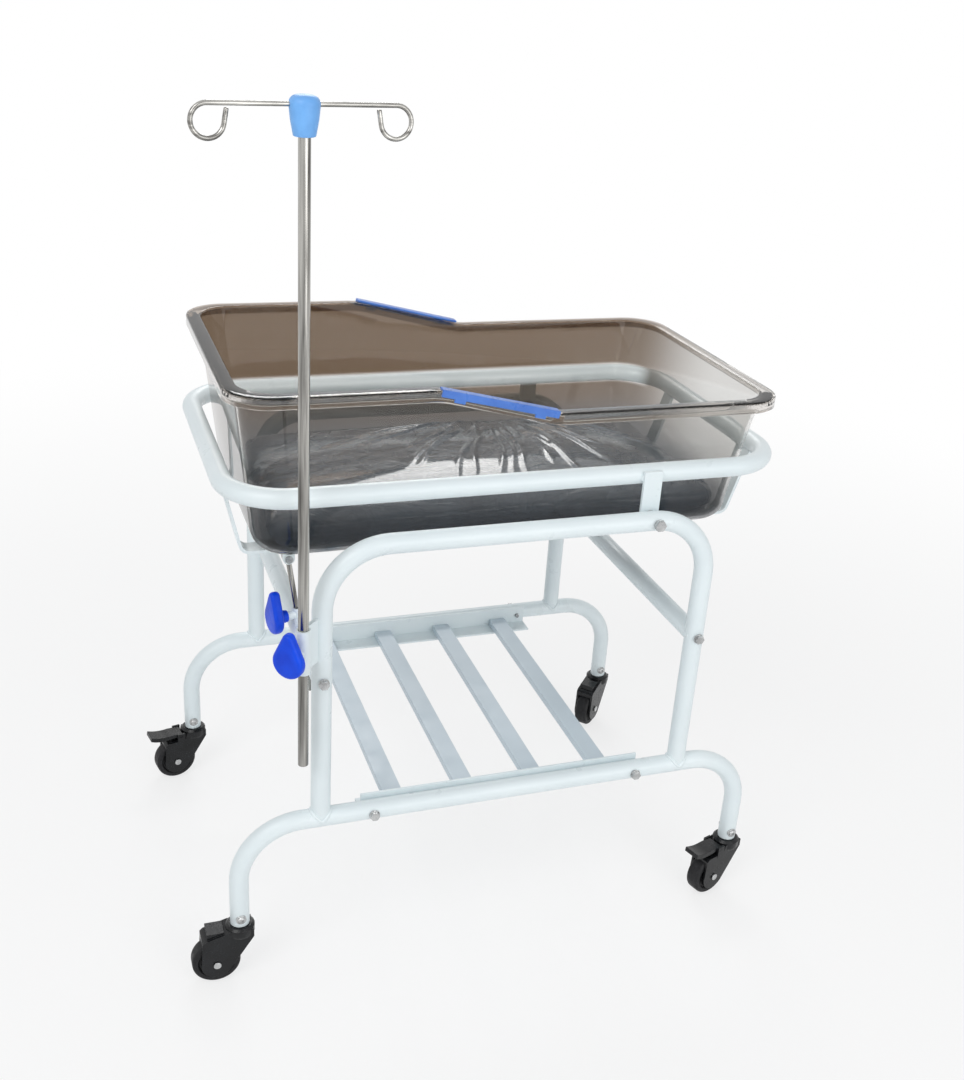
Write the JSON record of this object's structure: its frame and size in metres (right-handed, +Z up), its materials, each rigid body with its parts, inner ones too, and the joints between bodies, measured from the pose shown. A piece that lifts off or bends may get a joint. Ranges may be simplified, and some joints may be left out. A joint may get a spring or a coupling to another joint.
{
  "type": "hospital bassinet",
  "caption": "Wheeled bassinet: white tube stand with casters, slatted shelf and drip pole, tilting cradle and smoky clear tub with a mattress.",
  "frame": {"origin": "on the floor, under the middle of the bounding box", "axes": "+X towards the foot end of the tub, +Z up, -Y towards the side with the drip pole"},
  "size_m": [0.8044, 0.5582, 1.097],
  "materials": {
    "white_paint": "satin powder coat",
    "stainless": "polished round bar",
    "zinc": "bright zinc plate",
    "smoky_plastic": "smoky brown clear moulded plastic",
    "grip_blue": "satin",
    "knob_blue": "satin",
    "cap_blue": "satin",
    "pad_vinyl": "smooth coated cover",
    "caster_black": "moulded",
    "wheel_black": "matte tread"
  },
  "bodies": {
    "stand": {"near_bow": "white_paint", "far_bow": "white_paint", "near_arch": "white_paint", "far_arch": "white_paint", "head_cross_tube": "white_paint", "foot_cross_tube": "white_paint", "near_shelf_angle": "white_paint", "far_shelf_angle": "white_paint", "shelf_bar_1": "white_paint", "shelf_bar_2": "white_paint", "shelf_bar_3": "white_paint", "shelf_bar_4": "white_paint", "pole_socket": "white_paint", "tilt_sleeve": "white_paint", "near_head_cross_bolt": "zinc", "near_foot_cross_bolt": "zinc", "far_head_cross_bolt": "zinc", "far_foot_cross_bolt": "zinc", "near_head_shelf_bolt": "zinc", "near_foot_shelf_bolt": "zinc", "far_head_shelf_bolt": "zinc", "far_foot_shelf_bolt": "zinc", "near_pivot_bolt": "zinc", "far_pivot_bolt": "zinc", "near_head_stem": "zinc", "near_foot_stem": "zinc", "far_head_stem": "zinc", "far_foot_stem": "zinc"},
    "cradle": {"cradle_ring": "white_paint", "near_pivot_post": "white_paint", "far_pivot_post": "white_paint", "near_strap": "white_paint", "far_strap": "white_paint", "tilt_lug": "white_paint", "tilt_pin": "zinc"},
    "rod": {"tilt_rod": "stainless"},
    "basin": {"tub": "smoky_plastic", "near_grip": "grip_blue", "far_grip": "grip_blue", "mattress": "pad_vinyl"},
    "pole": {"drip_pole": "stainless", "pole_cap": "cap_blue", "hook_wire": "stainless"},
    "pole_clamp": {"pole_knob": "knob_blue"},
    "tilt_clamp": {"tilt_knob": "knob_blue"},
    "near_head_swivel": {"near_head_fork": "caster_black", "near_head_axle": "zinc"},
    "near_head_roller": {"near_head_wheel": "wheel_black"},
    "near_foot_swivel": {"near_foot_fork": "caster_black", "near_foot_axle": "zinc"},
    "near_foot_roller": {"near_foot_wheel": "wheel_black"},
    "near_foot_pedal": {"near_foot_brake_pedal": "caster_black"},
    "far_head_swivel": {"far_head_fork": "caster_black", "far_head_axle": "zinc"},
    "far_head_roller": {"far_head_wheel": "wheel_black"},
    "far_head_pedal": {"far_head_brake_pedal": "caster_black"},
    "far_foot_swivel": {"far_foot_fork": "caster_black", "far_foot_axle": "zinc"},
    "far_foot_roller": {"far_foot_wheel": "wheel_black"}
  },
  "joints": [
    {"name": "cradle_tilt", "type": "hinge", "parent": "stand", "child": "cradle", "pos_m": [0.19471, 0.0222, 0.602], "axis": [0, 1, 0], "range_deg": [-7, 7]},
    {"name": "rod_pivot", "type": "hinge", "parent": "cradle", "child": "rod", "pos_m": [-0.2426, -0.0928, 0.538], "axis": [0, 1, 0], "range_deg": [-7, 7]},
    {"name": "basin_lift", "type": "slide", "parent": "cradle", "child": "basin", "axis": [0, 0, 1], "range_m": [0, 0.25]},
    {"name": "pole_slide", "type": "slide", "parent": "stand", "child": "pole", "axis": [0, 0, 1], "range_m": [-0.3, 0.1]},
    {"name": "pole_knob_turn", "type": "hinge", "parent": "stand", "child": "pole_clamp", "pos_m": [-0.25322, -0.24073, 0.4875], "axis": [-0.7071, -0.7071, 0], "range_deg": [0, 270]},
    {"name": "tilt_knob_turn", "type": "hinge", "parent": "stand", "child": "tilt_clamp", "pos_m": [-0.22905, -0.0928, 0.45673], "axis": [-0.9781, -0.2079, 0], "range_deg": [0, 270]},
    {"name": "near_head_swivel_turn", "type": "hinge", "parent": "stand", "child": "near_head_swivel", "pos_m": [-0.32929, -0.2128, 0.0827], "axis": [0, 0, 1], "continuous": true},
    {"name": "near_head_wheel_roll", "type": "hinge", "parent": "near_head_swivel", "child": "near_head_roller", "pos_m": [-0.36129, -0.2128, 0.031], "axis": [0, 1, 0], "continuous": true},
    {"name": "near_foot_swivel_turn", "type": "hinge", "parent": "stand", "child": "near_foot_swivel", "pos_m": [0.37871, -0.2128, 0.0827], "axis": [0, 0, 1], "continuous": true},
    {"name": "near_foot_wheel_roll", "type": "hinge", "parent": "near_foot_swivel", "child": "near_foot_roller", "pos_m": [0.34828, -0.22269, 0.031], "axis": [-0.309, 0.9511, 0], "continuous": true},
    {"name": "near_foot_brake_press", "type": "hinge", "parent": "near_foot_swivel", "child": "near_foot_pedal", "pos_m": [0.35493, -0.22052, 0.076], "axis": [0.309, -0.9511, 0], "range_deg": [0, 8]},
    {"name": "far_head_swivel_turn", "type": "hinge", "parent": "stand", "child": "far_head_swivel", "pos_m": [-0.32929, 0.2572, 0.0827], "axis": [0, 0, 1], "continuous": true},
    {"name": "far_head_wheel_roll", "type": "hinge", "parent": "far_head_swivel", "child": "far_head_roller", "pos_m": [-0.36059, 0.25055, 0.031], "axis": [-0.2079, 0.9781, 0], "continuous": true},
    {"name": "far_head_brake_press", "type": "hinge", "parent": "far_head_swivel", "child": "far_head_pedal", "pos_m": [-0.35374, 0.252, 0.076], "axis": [0.2079, -0.9781, 0], "range_deg": [0, 8]},
    {"name": "far_foot_swivel_turn", "type": "hinge", "parent": "stand", "child": "far_foot_swivel", "pos_m": [0.37871, 0.2572, 0.0827], "axis": [0, 0, 1], "continuous": true},
    {"name": "far_foot_wheel_roll", "type": "hinge", "parent": "far_foot_swivel", "child": "far_foot_roller", "pos_m": [0.35493, 0.23579, 0.031], "axis": [-0.6691, 0.7431, 0], "continuous": true}
  ],
  "couplings": [
    {"joint": "rod_pivot", "follows": "cradle_tilt", "ratio": -1}
  ]
}
